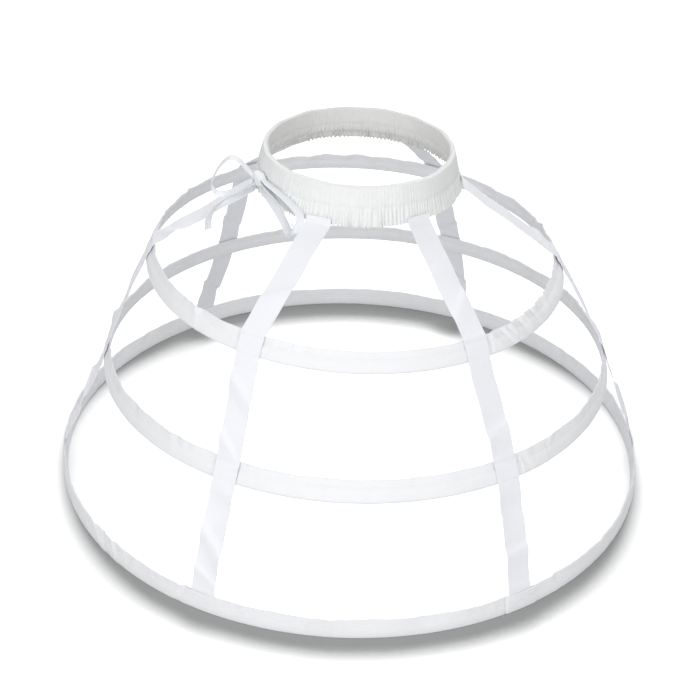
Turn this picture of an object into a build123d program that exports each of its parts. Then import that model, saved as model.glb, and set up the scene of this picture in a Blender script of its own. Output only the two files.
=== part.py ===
from build123d import *
import os
from math import cos, pi, radians, sin, sqrt, tan

os.makedirs("parts", exist_ok=True)

# Driving dimensions, in millimetres and degrees.
# The cage stands on its hem: +Z is up, and -Y is the side between the two front tapes.

# Ribbon and sewing
ribbon_width = 22.0
casing_cloth = 0.7
tape_thickness = 0.8
sewing_gap = 0.3

# Hoops, measured at the middle of their casings
hem_radius = 300.0
middle_radius = 255.0
top_radius = 204.0
middle_level = 129.0
top_level = 241.0
middle_shift = 3.0
top_shift = -1.0
middle_tip = 1.0
top_lean = 1.4

# Flat steel bone inside each hoop, and the sleeve that joins its two ends
bone_height = 7.0
bone_thickness = 1.4
bone_end_gap = 1.0
ferrule_length = 40.0
ferrule_wall = 0.5
ferrule_clearance = 0.1
pocket_clearance = 0.3

# Casing section: the pocket narrows to two flat layers over this height
neck_height = 2.5
fold_radius = 1.3
hem_tuck = 9.0

# The end of each casing strip laps over its beginning
lap_cloth = 0.7
lap_length = 34.0
hem_lap_angle = -59.0
middle_lap_angle = -52.0
top_lap_angle = -50.0

# Waistband: a gathered cloth channel with a free frill below its lower seam
rim_level = 358.0
seam_level = 331.5
frill_drop = 7.5
rim_radius = 92.5
seam_radius = 98.4
frill_radius = 100.5
waist_shift = -1.5
waist_lean = 0.8
waist_tip = 1.2
gathers = 108
points_per_gather = 2
rim_gather = 0.3
seam_gather = 0.6
frill_gather = 1.2
frill_cloth = 0.8
elastic_width = 19.0
elastic_thickness = 1.2
drawstring_width = 7.0
drawstring_thickness = 0.6
channel_clearance = 0.3
channel_margin = 2.0

# Buttonhole in the waistband, and the drawstring's knot in front of it
buttonhole_angle = -160.0
buttonhole_width = 3.8
drawstring_split = 0.9
knot_length = 13.0
knot_height = 9.5
knot_depth = 7.0
knot_gap = 0.8
knot_round = 2.2

# Free ends of the drawstring: flat ribbon, laid out here as a plain round cord
cord_diameter = 3.0
arc_share = 0.45

# Where each tape is sewn: its direction round the hoops, and round the waistband
tape_angles = {
    "front_left": (-121.0, -114.0),
    "front_right": (-60.0, -59.0),
    "side_right": (-2.0, -1.0),
    "back_right": (62.0, 55.0),
    "back_left": (122.0, 120.0),
    "side_left": (180.5, 188.0),
}

# Sizes that follow from the driving dimensions
half_ribbon = ribbon_width / 2
ferrule_thickness = bone_thickness + 2 * (ferrule_clearance + ferrule_wall)
ferrule_height = bone_height + 2 * (ferrule_clearance + ferrule_wall)
pocket_half = ferrule_thickness / 2 + pocket_clearance
pocket_floor = -half_ribbon + casing_cloth
pocket_top = pocket_floor + ferrule_height + 2 * pocket_clearance
neck_top = pocket_top + neck_height
bone_centre = (pocket_floor + pocket_top) / 2
outer_bulge = pocket_half + casing_cloth
hem_sagitta = hem_radius - sqrt(hem_radius**2 - half_ribbon**2)
hem_slot = tape_thickness + 2 * sewing_gap + hem_sagitta

rim_height = rim_level - seam_level
band_slope = (seam_radius - rim_radius) / rim_height
channel_room = elastic_thickness + drawstring_thickness + 3 * channel_clearance
channel_depth = channel_room + 2 * seam_gather
band_thickness = channel_depth + 2 * casing_cloth
channel_low = channel_margin
channel_high = rim_height - channel_margin
string_low = channel_low + 2 * channel_clearance
string_high = string_low + drawstring_width
string_rise = (string_low + string_high) / 2
buttonhole_height = drawstring_width + 2 * channel_clearance
buttonhole_depth = casing_cloth + seam_gather + sewing_gap + band_slope * buttonhole_height / 2


# Each ring of the cage has a plane of its own, a little shifted and tipped as it settles
def ring_plane(level, shift=0.0, lean=0.0, tip=0.0):
    return Plane(origin=(shift, 0, level)).rotated((-tip, lean, 0))


# A plane that holds the ring's axis: x runs outwards and y runs up
def section_plane(ring, angle=0.0):
    return Plane(ring.location * Rot(0, 0, angle) * Rot(90, 0, 0))


# A plane on the ring, at a direction, a radius and a height: x runs outwards, y along the ring
def station(ring, angle, radius, height):
    return Plane(ring.location * Rot(0, 0, angle) * Pos(radius, 0, height))


def ring_axis(ring):
    return Axis(ring.origin, ring.z_dir)


hem_plane = ring_plane(half_ribbon)
middle_plane = ring_plane(middle_level, middle_shift, tip=middle_tip)
top_plane = ring_plane(top_level, top_shift, lean=top_lean)
waist_plane = ring_plane(seam_level, waist_shift, waist_lean, waist_tip)

# name: ring plane, radius, gap between the casing's two layers, where the casing laps
hoops = {
    "hem": (hem_plane, hem_radius, hem_slot, hem_lap_angle),
    "middle": (middle_plane, middle_radius, sewing_gap, middle_lap_angle),
    "top": (top_plane, top_radius, sewing_gap, top_lap_angle),
}


# One side of a casing's section, from its top edge down to its fold
def casing_side(radius, upper, lower, fold):
    return [
        (radius + upper, half_ribbon),
        (radius + upper, neck_top),
        (radius + lower, pocket_top),
        (radius + lower, fold),
    ]


def mirrored(side, radius):
    return [(2 * radius - x, y) for x, y in reversed(side)]


for name, (ring, radius, slot, lap_angle) in hoops.items():
    half_slot = slot / 2
    upper = half_slot + casing_cloth
    outer = casing_side(radius, upper, outer_bulge, -half_ribbon)
    inner = casing_side(radius, half_slot, pocket_half, pocket_floor)

    # Casing: a strip folded upwards round the bone, so its fold is the lower edge of the hoop
    with BuildPart() as casing:
        with BuildSketch(section_plane(ring)) as folded_strip:
            with BuildLine():
                Polyline(*outer, *mirrored(outer, radius), close=True)
            make_face()
            fillet(folded_strip.vertices().group_by(Axis.Y)[0], fold_radius)
            with BuildLine():
                Polyline(*inner, *mirrored(inner, radius), close=True)
            make_face(mode=Mode.SUBTRACT)
        revolve(axis=ring_axis(ring))

        # Lap: the strip's end, laid over the outside of its beginning
        lap_arc = lap_length / radius * 180 / pi
        near = casing_side(radius, upper, outer_bulge, pocket_floor)
        far = casing_side(radius, upper + lap_cloth, outer_bulge + lap_cloth, pocket_floor)
        with BuildSketch(section_plane(ring, lap_angle - lap_arc / 2)):
            with BuildLine():
                Polyline(*near, *reversed(far), close=True)
            make_face()
        revolve(axis=ring_axis(ring), revolution_arc=lap_arc)
    casing.part.label = f"{name}_hoop_casing"
    export_step(casing.part, f"parts/{name}_hoop_casing.step")

    # Bone: one flat strip bent to a ring, with its two ends nearly meeting at the back
    gap_arc = bone_end_gap / radius * 180 / pi
    with BuildPart() as bone:
        with BuildSketch(section_plane(ring, 90 + gap_arc / 2)):
            with Locations((radius, bone_centre)):
                Rectangle(bone_thickness, bone_height)
        revolve(axis=ring_axis(ring), revolution_arc=360 - gap_arc)
    bone.part.label = f"{name}_hoop_bone"
    export_step(bone.part, f"parts/{name}_hoop_bone.step")

    # Ferrule: a flat steel sleeve over both ends of the bone
    ferrule_arc = ferrule_length / radius * 180 / pi
    with BuildPart() as ferrule:
        with BuildSketch(section_plane(ring, 90 - ferrule_arc / 2)):
            with Locations((radius, bone_centre)):
                RectangleRounded(ferrule_thickness, ferrule_height, ferrule_wall)
                Rectangle(
                    bone_thickness + 2 * ferrule_clearance,
                    bone_height + 2 * ferrule_clearance,
                    mode=Mode.SUBTRACT,
                )
        revolve(axis=ring_axis(ring), revolution_arc=ferrule_arc)
    ferrule.part.label = f"{name}_hoop_ferrule"
    export_step(ferrule.part, f"parts/{name}_hoop_ferrule.step")


# Tapes: flat ribbon, sewn over the frill, over the two upper hoops, and into the hem's casing
over_hoop = outer_bulge + sewing_gap + tape_thickness / 2
over_frill = sewing_gap + tape_thickness / 2

for name, (hoop_angle, waist_angle) in tape_angles.items():
    stations = [
        station(waist_plane, waist_angle, seam_radius + seam_gather + over_frill, -sewing_gap),
        station(waist_plane, waist_angle, frill_radius + frill_gather + over_frill, -frill_drop),
        station(top_plane, hoop_angle, top_radius + over_hoop, half_ribbon),
        station(top_plane, hoop_angle, top_radius + over_hoop, -half_ribbon),
        station(middle_plane, hoop_angle, middle_radius + over_hoop, half_ribbon),
        station(middle_plane, hoop_angle, middle_radius + over_hoop, -half_ribbon),
        station(hem_plane, hoop_angle, hem_radius, half_ribbon + tape_thickness),
        station(hem_plane, hoop_angle, hem_radius, half_ribbon - hem_tuck),
    ]
    with BuildPart() as tape:
        for place in stations:
            with BuildSketch(place):
                Rectangle(tape_thickness, ribbon_width)
        loft(ruled=True)
    tape.part.label = f"tape_{name}"
    export_step(tape.part, f"parts/tape_{name}.step")


# A ring of gathers: the radius rises and falls once for each of them
def gathered_ring(plane, radius, depth):
    count = gathers * points_per_gather
    points = []
    for i in range(count):
        turn = 2 * pi * i / count
        reach = radius + depth * cos(gathers * turn)
        points.append((reach * cos(turn), reach * sin(turn)))
    with BuildSketch(plane) as outline:
        with BuildLine():
            Polyline(*points, close=True)
        make_face()
    return outline.sketch


# A wall of gathers between two heights of the band, set in from its outside
def gathered_wall(low, high, inset):
    share = low / rim_height, high / rim_height
    depths = [seam_gather + (rim_gather - seam_gather) * part for part in share]
    rings = [
        gathered_ring(waist_plane.offset(height), seam_radius - inset - band_slope * height, depth)
        for height, depth in zip((low, high), depths)
    ]
    return rings


# The clear space inside the channel, measured inwards from the troughs of its outer layer
def channel_reach(height, inset):
    return seam_radius - seam_gather - casing_cloth - inset - band_slope * height


# A slanted strip in the channel's clear space
def channel_strip(plane, inset, thickness, low, high):
    with BuildSketch(plane) as strip:
        with BuildLine():
            Polyline(
                (channel_reach(low, inset), low),
                (channel_reach(low, inset) - thickness, low),
                (channel_reach(high, inset) - thickness, high),
                (channel_reach(high, inset), high),
                close=True,
            )
        make_face()
    return strip.sketch


frill_plane = waist_plane.offset(-frill_drop)
frill_rings = [
    gathered_ring(waist_plane, seam_radius, seam_gather),
    gathered_ring(frill_plane, frill_radius, frill_gather),
]
frill_inside = [
    gathered_ring(waist_plane, seam_radius - frill_cloth, seam_gather),
    gathered_ring(frill_plane, frill_radius - frill_cloth, frill_gather),
]
band_rings = gathered_wall(0, rim_height, 0)
channel_outer = gathered_wall(channel_low, channel_high, casing_cloth)
channel_inner = gathered_wall(channel_low, channel_high, band_thickness - casing_cloth)
band_inside = gathered_wall(0, rim_height, band_thickness)
buttonhole_radius = seam_radius - band_slope * string_rise

# Waistband: gathered outside and inside, hollow between its two layers, frill below the seam
with BuildPart() as waistband_casing:
    loft([band_rings[1], *frill_rings], ruled=True, clean=False)
    loft(channel_outer, ruled=True, clean=False, mode=Mode.SUBTRACT)
    loft(channel_inner, ruled=True, clean=False)
    loft(band_inside, ruled=True, clean=False, mode=Mode.SUBTRACT)
    loft(frill_inside, ruled=True, clean=False, mode=Mode.SUBTRACT)

    # Buttonhole: through the outer layer only, where the drawstring comes out
    with BuildSketch(station(waist_plane, buttonhole_angle, buttonhole_radius, string_rise)):
        Rectangle(2 * buttonhole_depth, buttonhole_width)
    extrude(amount=buttonhole_height / 2, both=True, clean=False, mode=Mode.SUBTRACT)
waistband_casing.part.label = "waistband_casing"
export_step(waistband_casing.part, "parts/waistband_casing.step")


# Elastic: a flat band that lies against the channel's inner layer
with BuildPart() as waist_elastic:
    elastic_inset = channel_room - channel_clearance - elastic_thickness
    elastic_low = (rim_height - elastic_width) / 2
    strip = channel_strip(
        section_plane(waist_plane),
        elastic_inset,
        elastic_thickness,
        elastic_low,
        elastic_low + elastic_width,
    )
    revolve(strip, axis=ring_axis(waist_plane))
waist_elastic.part.label = "waist_elastic"
export_step(waist_elastic.part, "parts/waist_elastic.step")


# Knot frame: at the buttonhole, x outwards, y along the band and z up
knot_back = buttonhole_radius + seam_gather + knot_gap
knot_plane = station(waist_plane, buttonhole_angle, knot_back + knot_depth / 2, string_rise)

# Drawstring: runs round the channel outside the elastic, and out through the buttonhole
with BuildPart() as waist_drawstring:
    split_arc = 2 * drawstring_split / seam_radius * 180 / pi
    strip = channel_strip(
        section_plane(waist_plane, buttonhole_angle + split_arc / 2),
        channel_clearance,
        drawstring_thickness,
        string_low,
        string_high,
    )
    revolve(strip, axis=ring_axis(waist_plane), revolution_arc=360 - split_arc)
    string_inset = channel_clearance + drawstring_thickness
    for side in (-1, 1):
        middle = side * (drawstring_split + drawstring_thickness / 2)
        with BuildSketch(section_plane(waist_plane, buttonhole_angle).offset(middle)):
            with BuildLine():
                Polyline(
                    (channel_reach(string_low, string_inset), string_low),
                    (knot_back - sewing_gap, string_low),
                    (knot_back - sewing_gap, string_high),
                    (channel_reach(string_high, string_inset), string_high),
                    close=True,
                )
            make_face()
        extrude(amount=drawstring_thickness / 2, both=True)
waist_drawstring.part.label = "waist_drawstring"
export_step(waist_drawstring.part, "parts/waist_drawstring.step")

with BuildPart() as bow_knot:
    with BuildSketch(knot_plane):
        Rectangle(knot_depth, knot_length)
    extrude(amount=knot_height / 2, both=True)
    fillet(bow_knot.edges(), knot_round)
bow_knot.part.label = "bow_knot"
export_step(bow_knot.part, "parts/bow_knot.step")


# Where the cords begin: just off the knot's outer face, or just off its front end
off_face = knot_depth / 2 + sewing_gap + cord_diameter / 2
off_end = knot_length / 2 + 2 * sewing_gap

# Routes of the bow's two loops and two tails, in the knot's frame and from the knot outwards
bow_routes = {
    "bow_loop_left": [
        (off_face, -2.3, 2.4),
        (10.7, -7.1, 9.2),
        (17.2, -11.4, 17.7),
        (24.8, -16.8, 18.1),
        (30.5, -21.2, 10.0),
        (35.7, -25.5, -1.5),
        (38.7, -30.0, -14.0),
        (34.5, -30.9, -23.9),
        (25.4, -26.5, -26.0),
        (14.8, -14.0, -14.5),
        (off_face, -2.8, -1.6),
    ],
    "bow_tail_left": [
        (off_face, 2.4, -2.6),
        (12.0, -3.5, -10.5),
        (19.6, -11.2, -18.7),
        (27.5, -18.0, -26.2),
        (35.0, -22.5, -33.8),
        (40.8, -24.2, -42.4),
        (43.4, -24.7, -51.5),
        (42.6, -25.0, -59.4),
    ],
    "bow_loop_right": [
        (-0.9, off_end, 3.0),
        (-0.8, 18.7, 3.2),
        (-3.8, 31.0, 2.9),
        (-9.0, 44.6, -0.6),
        (-14.7, 55.5, -6.7),
        (-18.0, 62.5, -12.7),
        (-14.5, 67.5, -19.5),
        (-8.0, 70.5, -27.0),
        (-7.6, 62.5, -31.5),
        (-8.0, 53.5, -28.0),
        (-6.1, 44.6, -20.7),
        (-2.8, 33.0, -12.6),
        (0.0, 19.9, -6.5),
        (-0.5, off_end, -3.4),
    ],
    "bow_tail_right": [
        (2.2, off_end, -0.4),
        (2.5, 19.1, -1.5),
        (1.3, 33.3, -1.7),
        (-2.9, 47.0, -6.3),
        (-7.1, 56.3, -13.9),
        (-10.5, 63.2, -22.4),
    ],
}


# The largest arc at each corner that its two runs leave room for
def corner_radii(points):
    runs = [b - a for a, b in zip(points, points[1:])]
    radii = []
    for before, after in zip(runs, runs[1:]):
        half_turn = radians(before.get_angle(after)) / 2
        radii.append(arc_share * min(before.length, after.length) / tan(half_turn))
    return radii


for name, offsets in bow_routes.items():
    points = [knot_plane.from_local_coords(Vector(*offset)) for offset in offsets]
    radii = corner_radii(points)
    with BuildPart() as cord:
        with BuildLine() as route:
            FilletPolyline(*points, radius=radii)
        with BuildSketch(Plane(origin=route.line @ 0, z_dir=route.line % 0)):
            Circle(cord_diameter / 2)
        sweep(path=route.line)
    cord.part.label = name
    export_step(cord.part, f"parts/{name}.step")
    print(name, "radii", [round(radius, 1) for radius in radii])
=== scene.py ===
import bpy
import numpy as np
from math import cos, pi, radians, sin, sqrt
from mathutils import Matrix, Vector


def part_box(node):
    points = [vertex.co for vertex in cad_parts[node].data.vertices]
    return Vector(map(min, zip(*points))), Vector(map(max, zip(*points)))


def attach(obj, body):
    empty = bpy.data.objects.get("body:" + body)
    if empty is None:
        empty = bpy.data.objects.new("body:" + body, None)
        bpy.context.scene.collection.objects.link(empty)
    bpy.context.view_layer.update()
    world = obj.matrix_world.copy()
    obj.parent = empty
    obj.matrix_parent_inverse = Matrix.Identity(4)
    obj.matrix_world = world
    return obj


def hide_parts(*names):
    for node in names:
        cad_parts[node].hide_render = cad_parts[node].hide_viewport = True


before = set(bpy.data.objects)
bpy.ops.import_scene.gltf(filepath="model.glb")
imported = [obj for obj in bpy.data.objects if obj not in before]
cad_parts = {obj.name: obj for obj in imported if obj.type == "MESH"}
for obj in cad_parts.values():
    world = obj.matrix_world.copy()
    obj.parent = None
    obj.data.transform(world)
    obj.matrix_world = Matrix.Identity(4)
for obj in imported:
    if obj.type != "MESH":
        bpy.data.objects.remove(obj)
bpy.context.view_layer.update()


# Camera: a long lens, high in front of the cage and a little to its left. It looks down at the
# cage by about 33 degrees, so that all three hoops and the open waist are seen.
photo_lens = 92.04
photo_sensor = 36.0
camera_place = Vector((-0.10852, -1.55185, 1.11727))
camera_ahead = Vector((0.0588, 0.8409, -0.5380))
camera_upwards = Vector((0.0025, 0.5388, 0.8424))
camera_shift = (-0.0047, 0.0002)

camera_data = bpy.data.cameras.new("photo_camera")
camera_data.lens = photo_lens
camera_data.sensor_width = photo_sensor
camera_data.shift_x, camera_data.shift_y = camera_shift
camera = bpy.data.objects.new("photo_camera", camera_data)
bpy.context.scene.collection.objects.link(camera)
camera_back = -camera_ahead.normalized()
camera_right = camera_upwards.cross(camera_back).normalized()
camera_up = camera_back.cross(camera_right)
camera.matrix_world = (
    Matrix.Translation(camera_place)
    @ Matrix((camera_right, camera_up, camera_back)).transposed().to_4x4()
)
bpy.context.scene.camera = camera


# Studio: a wide white floor under two soft boxes in front of the cage and a broad one above and
# behind it, which throws the soft shadow on the near side of the hem. The floor's colour also
# carries a painted contact shadow where the hem stands close over it.
lamps = [
    # name, place, aim, side, power
    ("back_box", (0.25, 1.55, 1.75), (0.0, 0.0, 0.05), 1.5, 26.0),
    ("front_left_box", (-0.95, -1.15, 0.93), (0.0, -0.2, 0.15), 1.0, 9.4),
    ("front_right_box", (0.5, -1.32, 0.93), (0.0, -0.2, 0.15), 1.0, 8.7),
]
room_level = 0.44
room_colour = (0.97, 0.985, 1.0, 1.0)
floor_size = 40.0
floor_white = (0.98, 0.98, 0.98, 1.0)
floor_bounce = (0.6, 0.6, 0.605, 1.0)
floor_lift = 0.45
far_floor_start = 0.9
far_floor_run = 1.2

# The hem's painted contact shadow in the floor's colour: its reach and depth grow towards the
# back, it leans towards the viewer and away from the middle, and it fades at the two sides
contact_rays = 16
contact_reach, contact_reach_rise = 0.046, 0.02
contact_depth, contact_depth_rise = 2.3, 1.0
contact_lean_out, contact_lean_back, contact_lean_up = -0.8, 0.72, 0.69
contact_side_power, contact_side_fade = 4.0, 78.0
contact_darkest = 0.24


def aimed(place, aim):
    return (Vector(aim) - Vector(place)).to_track_quat("-Z", "Y").to_matrix().to_4x4()


for lamp_name, place, aim, side, power in lamps:
    lamp_data = bpy.data.lights.new(lamp_name, "AREA")
    lamp_data.shape = "SQUARE"
    lamp_data.size = side
    lamp_data.energy = power
    lamp = bpy.data.objects.new(lamp_name, lamp_data)
    lamp.matrix_world = Matrix.Translation(Vector(place)) @ aimed(place, aim)
    bpy.context.scene.collection.objects.link(lamp)


def new_material(name):
    material = bpy.data.materials.new(name)
    material.use_nodes = True
    tree = material.node_tree
    shader = next(node for node in tree.nodes if node.type == "BSDF_PRINCIPLED")
    return material, tree, shader


def mixed_colour(tree, factor, first, second):
    mix = tree.nodes.new("ShaderNodeMix")
    mix.data_type = "RGBA"
    sockets = {socket.identifier: socket for socket in mix.inputs}
    tree.links.new(factor, sockets["Factor_Float"])
    for name, colour in (("A_Color", first), ("B_Color", second)):
        if isinstance(colour, tuple):
            sockets[name].default_value = colour
        else:
            tree.links.new(colour, sockets[name])
    return next(socket for socket in mix.outputs if socket.identifier == "Result_Color")


def maths(tree, operation, *values):
    """One Math node, whose inputs are numbers or other nodes' sockets."""
    node = tree.nodes.new("ShaderNodeMath")
    node.operation = operation
    for socket, value in zip(node.inputs, values):
        if isinstance(value, (int, float)):
            socket.default_value = value
        else:
            tree.links.new(value, socket)
    return node.outputs[0]


def seen_directly(tree):
    path = tree.nodes.new("ShaderNodeLightPath")
    glossy, clear = path.outputs["Is Glossy Ray"], path.outputs["Is Transmission Ray"]
    mirrored = maths(tree, "MAXIMUM", glossy, clear)
    return maths(tree, "MAXIMUM", path.outputs["Is Camera Ray"], mirrored)


half_floor = floor_size / 2
floor_mesh = bpy.data.meshes.new("studio_floor")
floor_mesh.from_pydata(
    [(-half_floor, -half_floor, 0), (half_floor, -half_floor, 0),
     (half_floor, half_floor, 0), (-half_floor, half_floor, 0)],
    [],
    [(0, 1, 2, 3)],
)
floor = bpy.data.objects.new("studio_floor", floor_mesh)
bpy.context.scene.collection.objects.link(floor)

floor_material, floor_tree, floor_shader = new_material("studio_floor_white")
floor.data.materials.append(floor_material)
direct = seen_directly(floor_tree)
floor_place = floor_tree.nodes.new("ShaderNodeTexCoord").outputs["Object"]
floor_sides = floor_tree.nodes.new("ShaderNodeSeparateXYZ")
floor_tree.links.new(floor_place, floor_sides.inputs[0])
across_floor, along_floor = floor_sides.outputs["X"], floor_sides.outputs["Y"]

# Painted shadow: occlusion from the hem darkens the floor's own colour and its lift
contact = floor_tree.nodes.new("ShaderNodeAmbientOcclusion")
contact.samples = contact_rays
reach_here = maths(floor_tree, "MULTIPLY_ADD", along_floor, contact_reach_rise, contact_reach)
floor_tree.links.new(reach_here, contact.inputs["Distance"])
lean_way = floor_tree.nodes.new("ShaderNodeCombineXYZ")
lean_here = maths(floor_tree, "MULTIPLY", across_floor, contact_lean_out)
floor_tree.links.new(lean_here, lean_way.inputs["X"])
lean_way.inputs["Y"].default_value = contact_lean_back
lean_way.inputs["Z"].default_value = contact_lean_up
contact_lean = floor_tree.nodes.new("ShaderNodeVectorMath")
contact_lean.operation = "NORMALIZE"
floor_tree.links.new(lean_way.outputs[0], contact_lean.inputs[0])
floor_tree.links.new(contact_lean.outputs[0], contact.inputs["Normal"])

depth_here = maths(floor_tree, "MULTIPLY_ADD", along_floor, contact_depth_rise, contact_depth)
sideways = maths(floor_tree, "POWER", across_floor, contact_side_power)
side_fade = maths(floor_tree, "MULTIPLY", sideways, contact_side_fade)
front_share = maths(floor_tree, "SUBTRACT", 1.0, side_fade)
front_share.node.use_clamp = True
# Painted shadow: the floor's white and lift are scaled down where the hem is found close by
covered = maths(floor_tree, "SUBTRACT", 1.0, contact.outputs["AO"])
deep = maths(floor_tree, "MULTIPLY", covered, depth_here)
nearness = maths(floor_tree, "MULTIPLY", deep, front_share)
left_open = maths(floor_tree, "SUBTRACT", 1.0, nearness)
openness = maths(floor_tree, "MAXIMUM", left_open, contact_darkest)
seen_floor = floor_tree.nodes.new("ShaderNodeCombineXYZ")
for channel, level in zip(seen_floor.inputs, floor_white):
    floor_tree.links.new(maths(floor_tree, "MULTIPLY", openness, level), channel)
floor_colour = mixed_colour(floor_tree, direct, floor_bounce, seen_floor.outputs[0])

# Far from the cage the floor is lifted to plain white, so that no horizon shows
from_centre = floor_tree.nodes.new("ShaderNodeVectorMath")
from_centre.operation = "LENGTH"
floor_tree.links.new(floor_place, from_centre.inputs[0])
far_off = maths(floor_tree, "SUBTRACT", from_centre.outputs["Value"], far_floor_start)
far_share = maths(floor_tree, "MULTIPLY", far_off, 1 / far_floor_run)
far_share.node.use_clamp = True
near_lift = maths(floor_tree, "MULTIPLY", openness, floor_lift)
lift = maths(floor_tree, "MULTIPLY", direct, maths(floor_tree, "MAXIMUM", near_lift, far_share))
floor_tree.links.new(floor_colour, floor_shader.inputs["Base Color"])
floor_tree.links.new(lift, floor_shader.inputs["Emission Strength"])
floor_shader.inputs["Emission Color"].default_value = (1.0, 1.0, 1.0, 1.0)
floor_shader.inputs["Roughness"].default_value = 1.0
floor_shader.inputs["Specular IOR Level"].default_value = 0.0

room = bpy.data.worlds.new("studio_room")
room.use_nodes = True
room_light = room.node_tree.nodes["Background"]
room_direct = seen_directly(room.node_tree)
room_tint = mixed_colour(room.node_tree, room_direct, room_colour, (1.0, 1.0, 1.0, 1.0))
room_strength = maths(room.node_tree, "MULTIPLY_ADD", room_direct, 1.0 - room_level, room_level)
room.node_tree.links.new(room_tint, room_light.inputs["Color"])
room.node_tree.links.new(room_strength, room_light.inputs["Strength"])
bpy.context.scene.world = room

# Colours are shown as they are, without a film look
bpy.context.scene.view_settings.view_transform = "Standard"


# Hoop casings: three rings of white woven ribbon, each folded up round a flat bone, stitched
# shut above it and lapped over its own beginning. The cloth puckers a little along its seam,
# and bunches where the ribbon was pulled along the bone.
ribbon_width = 0.022
half_ribbon = ribbon_width / 2
ribbon_cloth = 0.0006
half_gap, slit_floor = 0.00012, 0.0076
hoop_bulge = 0.0025
hoop_steps = 1560

# name: radius, level, sideways shift, lean and tip in degrees
hoop_rings = {
    "hem": (0.300, 0.011, 0.0, 0.0, 0.0),
    "middle": (0.255, 0.129, 0.003, 0.0, 1.0),
    "top": (0.204, 0.241, -0.001, 1.4, 0.0),
}

# The tapes draw the upper ribbons over, round their bones, to the slope of the cage: degrees at
# the sides, then at the front and back, and more where the top one is bunched, on its right
bone_level = -0.0049
hoop_slopes = {"hem": (0.0, 0.0), "middle": (13.0, 24.0), "top": (20.0, 24.0)}
bunched_lean = {"hem": 0.0, "middle": 0.0, "top": 17.0}
bunched_place, bunched_reach = -24.0, 24.0
hoop_heights = {"hem": 0.93, "middle": 1.0, "top": 0.94}

# Above its shoulder the casing narrows from the bone to the seam, but stays fuller by these shares
casing_shoulder = -0.0024
casing_fullness = {"hem": 0.9, "middle": 0.3, "top": 0.3}

# The unevenness of the cloth: a slow sway, a quick ripple, its top edge and its puckers
loose_from, loose_run = -0.004, 0.015
sway_depth, ripple_depth, edge_play = 0.00042, 0.00014, 0.00016
pucker_fullness = {"hem": 0.7, "middle": 0.7, "top": 1.0}
counter_share, counter_place = 0.45, 1.7
pucker_below, pucker_sink = 0.25, 0.16
crossing_spread = 1.05

# The swelling over the ferrule, and the hem's lips, parted where a tape goes in
ferrule_angle, ferrule_bump, ferrule_half, pocket_half = 90.0, 0.0006, 0.0215, 0.0052
hem_mouth, mouth_length = 0.00065, 0.0135
lips_from, lips_run = 0.001, 0.004

# name: where the tape crosses the hoops and where it leaves the waist, in degrees
tape_angles = {
    "front_left": (-121.0, -114.0),
    "front_right": (-60.0, -59.0),
    "side_right": (-2.0, -1.0),
    "back_right": (62.0, 55.0),
    "back_left": (122.0, 120.0),
    "side_left": (180.5, 188.0),
}

# The lap: where it is, its one more layer of cloth, and the step down at its folded end
lap_angles = {"hem": -60.2, "middle": -52.0, "top": -50.0}
lap_length, lap_cloth, lap_edge = 0.034, 0.0006, 0.00025
lap_step = {"hem": 0.0011, "middle": 0.0003, "top": 0.0003}
step_place, step_half = 0.0013, 0.0009
hoop_stitch_pitch = 0.0034

# name: direction, half width in degrees, depth in metres, slant in degrees
hoop_puckers = {
    "hem": [
        (-148.0, 0.9, 0.0022, 2.0), (-145.4, 0.7, -0.0016, 1.4), (-142.6, 0.8, 0.0019, 1.0),
        (-126.4, 0.8, 0.0020, -1.0), (-124.9, 0.5, -0.0018, -0.6), (-96.0, 2.4, 0.0008, 1.5),
        (-80.0, 3.0, -0.0007, -2.0), (-52.3, 0.7, 0.0016, 0.7), (-37.0, 1.3, 0.0013, 1.1),
        (-21.0, 1.1, -0.0012, -0.9), (14.0, 1.4, 0.0013, 1.0), (33.0, 1.1, 0.0014, -1.0),
        (47.0, 0.9, -0.0012, 0.8), (84.0, 1.6, 0.0010, 1.2), (104.0, 1.1, -0.0011, -1.0),
        (139.0, 1.2, 0.0013, 1.1), (158.0, 1.0, 0.0014, -1.3), (171.0, 1.1, -0.0012, 1.0),
    ],
    "middle": [
        (-56.4, 0.9, 0.0014, 1.1), (-54.4, 0.8, -0.0010, 0.8), (-47.0, 1.0, 0.0013, -1.2),
        (-92.0, 2.6, 0.0007, 2.0), (-136.0, 1.2, 0.0013, 1.2), (-150.0, 1.0, -0.0013, 1.0),
        (-30.0, 1.1, 0.0013, -1.0), (24.0, 1.1, 0.0014, 1.2), (76.0, 1.4, 0.0011, -1.0),
        (108.0, 1.2, 0.0013, 1.0), (150.0, 1.1, -0.0012, 1.1),
    ],
    "top": [
        (-52.6, 1.1, 0.0020, 2.2), (-49.0, 0.8, -0.0017, 1.8), (-45.0, 1.0, 0.0024, 1.8),
        (-41.6, 0.8, -0.0020, 1.2), (-38.6, 0.9, 0.0026, 1.5), (-35.4, 0.8, -0.0019, 1.0),
        (-32.0, 1.0, 0.0021, 1.4), (-27.6, 1.0, 0.0014, -1.0), (-92.0, 2.8, 0.0007, 2.0),
        (-110.0, 1.6, 0.0010, -1.4), (-140.0, 1.2, 0.0013, 1.2), (16.0, 1.2, 0.0015, 1.5),
        (40.0, 1.4, -0.0011, 1.3), (88.0, 1.6, 0.0010, 1.0), (146.0, 1.2, 0.0014, -1.2),
    ],
}


def ring_frame(radius_shift, level, lean, tip):
    turned = Matrix.Rotation(radians(-tip), 4, "X") @ Matrix.Rotation(radians(lean), 4, "Y")
    return Matrix.Translation((radius_shift, 0, level)) @ turned


def ring_points(ring, angles, reach, height):
    """Points in the object's frame; angles in radians, reach and height in the ring's own."""
    sides = np.broadcast_arrays(reach * np.cos(angles), reach * np.sin(angles), height)
    return np.stack(sides, axis=-1) @ np.array(ring.to_3x3()).T + np.array(ring.translation)


def closed(rows):
    """The rows of a ring, with the first one again at the end."""
    return np.vstack([rows, rows[:1]])


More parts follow.
